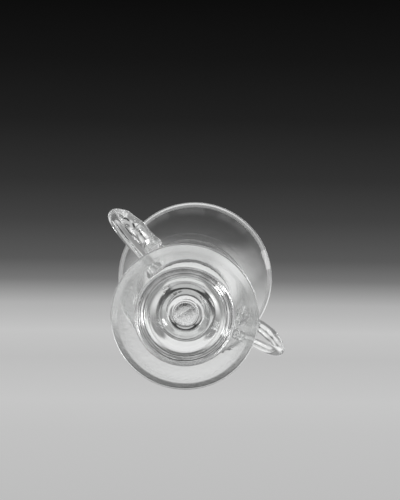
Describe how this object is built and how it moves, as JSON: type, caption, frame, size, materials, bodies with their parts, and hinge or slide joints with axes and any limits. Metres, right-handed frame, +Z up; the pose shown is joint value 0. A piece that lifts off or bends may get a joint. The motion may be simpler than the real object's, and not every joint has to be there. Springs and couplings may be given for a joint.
{
  "type": "jelly glass",
  "caption": "Clear glass jelly glass with a bell-shaped bowl, a short knop, a domed foot and a looped handle on each side.",
  "frame": {"origin": "middle of the foot's ring, on the surface that the glass stands on", "axes": "+Z up along the glass's axis through the mouth, +X towards the right handle and -X towards the left one"},
  "size_m": [0.1078, 0.077, 0.1066],
  "materials": {
    "foot_glass": "clear, fire-polished lead glass",
    "scar_glass": "clear glass, broken and partly smoothed",
    "knop_glass": "clear, fire-polished lead glass",
    "bowl_glass": "clear, fire-polished lead glass",
    "handle_glass": "clear, fire-polished lead glass"
  },
  "bodies": {
    "root": {"foot": "foot_glass", "pontil_scar": "scar_glass", "knop": "knop_glass", "bowl": "bowl_glass", "handle_right": "handle_glass", "handle_left": "handle_glass"}
  },
  "joints": []
}
